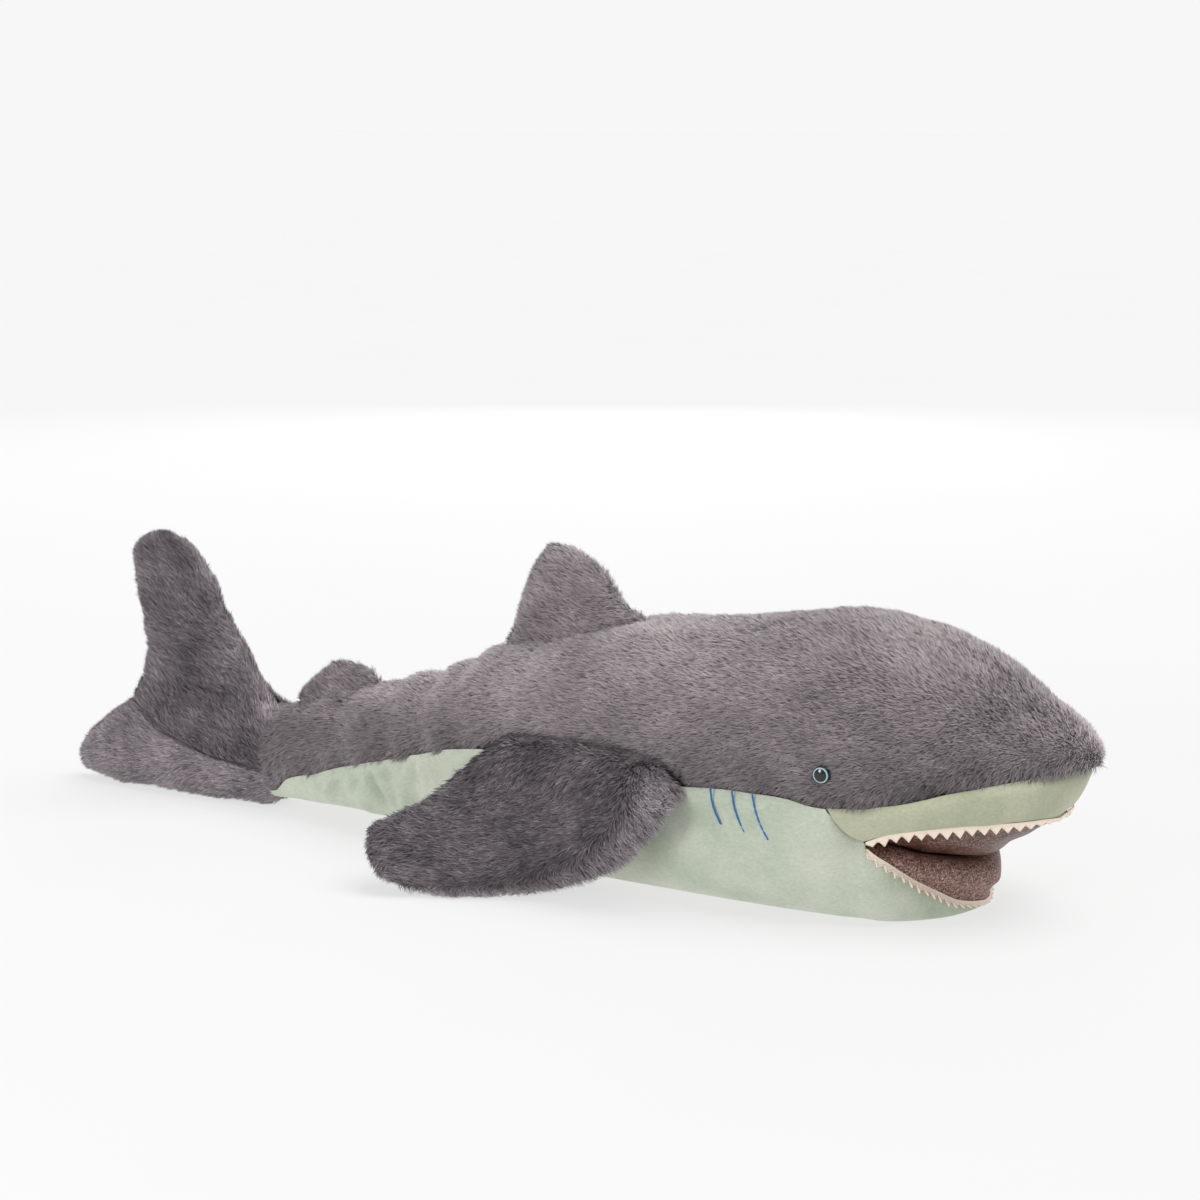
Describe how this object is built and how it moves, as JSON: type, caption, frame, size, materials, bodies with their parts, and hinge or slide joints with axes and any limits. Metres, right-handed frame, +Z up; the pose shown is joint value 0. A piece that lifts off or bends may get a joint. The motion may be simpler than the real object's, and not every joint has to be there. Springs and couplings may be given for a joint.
{
  "type": "plush shark",
  "caption": "Large stuffed toy shark lying on its belly, with long pile grey fur, pale green velour underside, padded fins and an open glitter-lined mouth trimmed with felt teeth.",
  "frame": {"origin": "centre of the bounding box at the surface the toy lies on", "axes": "+X towards the snout, +Y to the shark's left, +Z up from the surface the belly lies on"},
  "size_m": [0.75, 0.2966, 0.1973],
  "materials": {
    "fur_grey": "long brushed pile",
    "fur_dark": "long brushed pile",
    "velour_green": "short pile velour",
    "glitter_brown": "woven with fine glitter",
    "felt_cream": "pressed felt",
    "thread_blue": "twisted embroidery thread",
    "filling": "loose fibre fill",
    "eye_black": "glossy",
    "washer_white": "moulded"
  },
  "bodies": {
    "body": {"back_fur_right": "fur_grey", "back_fur_left": "fur_grey", "belly_panel": "velour_green", "torso_stuffing": "filling", "head_stuffing": "filling", "upper_lip_panel": "velour_green", "palate_lining": "glitter_brown", "upper_teeth_trim": "felt_cream", "eye_right": "eye_black", "eye_left": "eye_black", "eye_washer_right": "washer_white", "eye_washer_left": "washer_white", "gill_stitches_right": "thread_blue", "gill_stitches_left": "thread_blue"},
    "jaw": {"chin_panel": "velour_green", "tongue_lining": "glitter_brown", "lower_teeth_trim": "felt_cream", "jaw_stuffing": "filling"},
    "pectoral_right": {"pectoral_right_top_fur": "fur_dark", "pectoral_right_under_fur": "fur_dark", "pectoral_right_stuffing": "filling"},
    "pectoral_left": {"pectoral_left_top_fur": "fur_dark", "pectoral_left_under_fur": "fur_dark", "pectoral_left_stuffing": "filling"},
    "dorsal": {"dorsal_fur_right": "fur_grey", "dorsal_fur_left": "fur_grey", "dorsal_stuffing": "filling"},
    "tail": {"tail_fur_right": "fur_grey", "tail_fur_left": "fur_grey", "tail_belly_panel": "velour_green", "tail_stuffing": "filling"},
    "rear_dorsal": {"rear_dorsal_fur_right": "fur_grey", "rear_dorsal_fur_left": "fur_grey", "rear_dorsal_stuffing": "filling"},
    "caudal": {"caudal_upper_fur_right": "fur_dark", "caudal_upper_fur_left": "fur_dark", "caudal_lower_fur_right": "fur_dark", "caudal_lower_fur_left": "fur_dark", "caudal_stuffing": "filling"}
  },
  "joints": [
    {"name": "jaw_hinge", "type": "hinge", "parent": "body", "child": "jaw", "pos_m": [0.258, 0, 0.054], "axis": [0, -1, 0], "range_deg": [0, 22], "stiffness_Nm_per_rad": 0.08},
    {"name": "pectoral_right_hinge", "type": "hinge", "parent": "body", "child": "pectoral_right", "pos_m": [-0.014, -0.0875, 0.064], "axis": [-0.9849, 0.1621, -0.0601], "range_deg": [0, 55], "stiffness_Nm_per_rad": 0.15},
    {"name": "pectoral_left_hinge", "type": "hinge", "parent": "body", "child": "pectoral_left", "pos_m": [-0.014, 0.0875, 0.064], "axis": [0.9849, 0.1621, 0.0601], "range_deg": [0, 55], "stiffness_Nm_per_rad": 0.15},
    {"name": "dorsal_hinge", "type": "hinge", "parent": "body", "child": "dorsal", "pos_m": [-0.02862, 0, 0.13765], "axis": [0.965, 0, 0.2622], "range_deg": [-25, 25], "stiffness_Nm_per_rad": 0.12},
    {"name": "tail_bend", "type": "hinge", "parent": "body", "child": "tail", "pos_m": [-0.105, 0, 0.05], "axis": [0, 0, 1], "range_deg": [-10, 10], "stiffness_Nm_per_rad": 0.4},
    {"name": "rear_dorsal_hinge", "type": "hinge", "parent": "tail", "child": "rear_dorsal", "pos_m": [-0.19364, 0, 0.07825], "axis": [0.9548, 0, 0.2974], "range_deg": [-25, 25], "stiffness_Nm_per_rad": 0.03},
    {"name": "caudal_swing", "type": "hinge", "parent": "tail", "child": "caudal", "pos_m": [-0.198, 0, 0.04], "axis": [0, 0, 1], "range_deg": [-18, 18], "stiffness_Nm_per_rad": 0.25}
  ]
}
